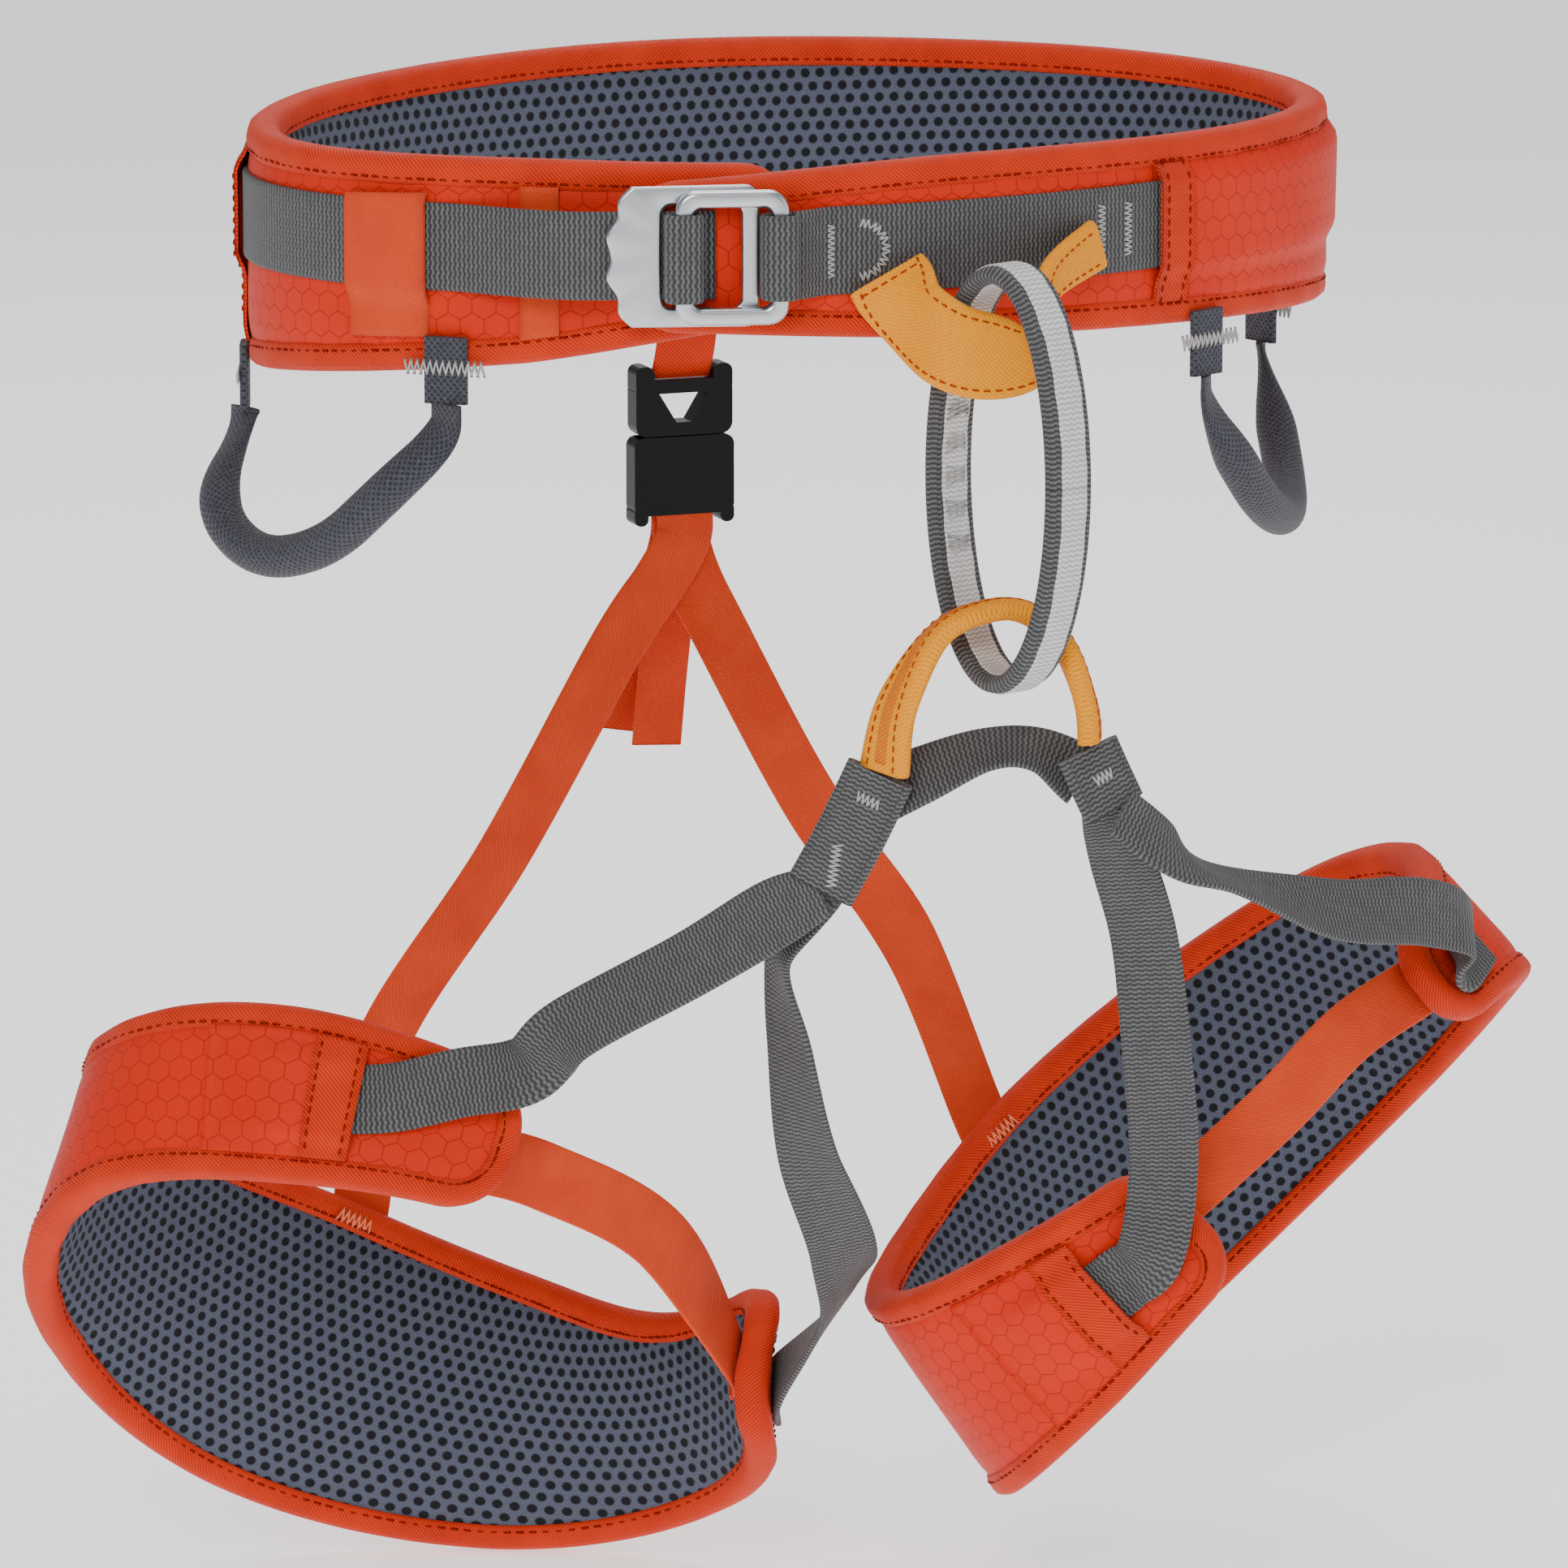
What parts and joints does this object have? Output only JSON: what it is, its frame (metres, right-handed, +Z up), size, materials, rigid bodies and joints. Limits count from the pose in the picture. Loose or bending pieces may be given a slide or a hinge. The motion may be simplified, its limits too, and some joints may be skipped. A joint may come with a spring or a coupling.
{
  "type": "climbing harness",
  "caption": "Padded climbing harness: buckled waist belt, belay loop, tie-in points, gear loops, and leg loops hung from rear elastic risers.",
  "frame": {"origin": "centre of the waist opening, at the belt's mid-height at the front", "axes": "+Z up through the waist opening; the wearer faces -Y, so the belay loop is at -Y; the wearer's right leg is at -X"},
  "size_m": [0.4379, 0.3105, 0.453],
  "materials": {
    "spacer_mesh": "open spacer mesh",
    "pad_foam": "closed-cell foam",
    "shell_ripstop": "embossed ripstop nylon",
    "binding_twill": "twill binding tape",
    "grey_webbing": "ribbed nylon webbing",
    "coral_elastic": "twill elastic",
    "tie_in_sleeve": "plain woven wear sleeve",
    "white_stripe": "woven marker stripe",
    "bar_tack_thread": "bonded thread",
    "buckle_steel": "satin",
    "gear_loop_braid": "braided sheath",
    "gear_loop_cord": "plastic cord",
    "black_plastic": "moulded acetal"
  },
  "bodies": {
    "belt": {"belt_bar_tacks": "bar_tack_thread", "belt_edge_binding": "binding_twill", "belt_foam_core": "pad_foam", "belt_mesh_lining": "spacer_mesh", "belt_outer_shell": "shell_ripstop", "belt_tunnel_cover": "shell_ripstop", "belt_tunnel_hem": "binding_twill", "belt_webbing_adjusting": "grey_webbing", "belt_webbing_fixed": "grey_webbing", "fixed_webbing_eye": "grey_webbing", "left_gear_loop_bar_tacks": "bar_tack_thread", "left_gear_loop_tabs": "gear_loop_braid", "left_leg_sewn_joint": "grey_webbing", "left_riser": "coral_elastic", "left_riser_tail": "coral_elastic", "leg_bridge_webbing": "grey_webbing", "lower_tie_in_sleeve": "tie_in_sleeve", "lower_tie_in_webbing": "grey_webbing", "rear_buckle_female": "black_plastic", "rear_hanger_strap": "coral_elastic", "right_gear_loop_bar_tacks": "bar_tack_thread", "right_gear_loop_tabs": "gear_loop_braid", "right_leg_sewn_joint": "grey_webbing", "right_riser": "coral_elastic", "right_riser_tail": "coral_elastic", "upper_tie_in_sleeve": "tie_in_sleeve", "upper_tie_in_webbing": "grey_webbing", "waist_buckle_plate": "buckle_steel", "webbing_keeper_elastic": "coral_elastic"},
    "waist_buckle_frame": {"waist_buckle_frame": "buckle_steel", "adjusting_webbing_wrap": "grey_webbing"},
    "belay_loop": {"belay_loop_webbing": "grey_webbing", "belay_loop_stripe": "white_stripe"},
    "right_gear_loop": {"right_gear_loop_core": "gear_loop_cord", "right_gear_loop_sleeve": "gear_loop_braid"},
    "left_gear_loop": {"left_gear_loop_core": "gear_loop_cord", "left_gear_loop_sleeve": "gear_loop_braid"},
    "right_leg_loop": {"right_leg_edge_binding": "binding_twill", "right_leg_elastic": "coral_elastic", "right_leg_foam_core": "pad_foam", "right_leg_inner_strap": "grey_webbing", "right_leg_mesh_lining": "spacer_mesh", "right_leg_outer_shell": "shell_ripstop", "right_leg_outer_strap": "grey_webbing", "right_leg_tunnel_hem": "binding_twill"},
    "left_leg_loop": {"left_leg_edge_binding": "binding_twill", "left_leg_elastic": "coral_elastic", "left_leg_foam_core": "pad_foam", "left_leg_inner_strap": "grey_webbing", "left_leg_mesh_lining": "spacer_mesh", "left_leg_outer_shell": "shell_ripstop", "left_leg_outer_strap": "grey_webbing", "left_leg_tunnel_hem": "binding_twill"},
    "rear_buckle_male": {"rear_buckle_male": "black_plastic"},
    "rear_right_prong": {"rear_buckle_right_prong": "black_plastic"},
    "rear_left_prong": {"rear_buckle_left_prong": "black_plastic"}
  },
  "joints": [
    {"name": "waist_buckle_tilt", "type": "hinge", "parent": "belt", "child": "waist_buckle_frame", "pos_m": [-0.05298, -0.11662, -0.003], "axis": [0, 0, 1], "range_deg": [0, 25]},
    {"name": "belay_loop_turn", "type": "hinge", "parent": "belt", "child": "belay_loop", "pos_m": [0.0048, -0.1432, -0.0655], "axis": [0, 0, 1], "range_deg": [-10, 6]},
    {"name": "right_gear_loop_swing", "type": "hinge", "parent": "belt", "child": "right_gear_loop", "pos_m": [-0.13152, -0.06178, -0.0475], "axis": [-0.2638, 0.955, -0.1352], "range_deg": [-25, 10], "stiffness_Nm_per_rad": 0.03},
    {"name": "left_gear_loop_swing", "type": "hinge", "parent": "belt", "child": "left_gear_loop", "pos_m": [0.08946, -0.09685, -0.0485], "axis": [0.5448, 0.8341, -0.0862], "range_deg": [-10, 25], "stiffness_Nm_per_rad": 0.03},
    {"name": "right_leg_swing", "type": "hinge", "parent": "belt", "child": "right_leg_loop", "pos_m": [-0.0395, -0.1135, -0.1838], "axis": [1, 0, 0], "range_deg": [-15, 8], "stiffness_Nm_per_rad": 3, "springref_deg": 3.44, "deforming": ["right_riser"]},
    {"name": "left_leg_swing", "type": "hinge", "parent": "belt", "child": "left_leg_loop", "pos_m": [0.0335, -0.1545, -0.1598], "axis": [1, 0, 0], "range_deg": [-10, 12], "stiffness_Nm_per_rad": 3, "springref_deg": 1.72, "deforming": ["left_riser"]},
    {"name": "rear_buckle_release", "type": "slide", "parent": "belt", "child": "rear_buckle_male", "axis": [0, 0, 1], "range_m": [0, 0.018], "deforming": ["rear_hanger_strap"]},
    {"name": "rear_right_prong_squeeze", "type": "hinge", "parent": "rear_buckle_male", "child": "rear_right_prong", "pos_m": [0.00715, 0.11555, -0.0934], "axis": [-0.0647, -0.9979, 0], "range_deg": [0, 5], "stiffness_Nm_per_rad": 0.02},
    {"name": "rear_left_prong_squeeze", "type": "hinge", "parent": "rear_buckle_male", "child": "rear_left_prong", "pos_m": [0.02611, 0.11432, -0.0934], "axis": [0.0647, 0.9979, 0], "range_deg": [0, 5], "stiffness_Nm_per_rad": 0.02}
  ]
}
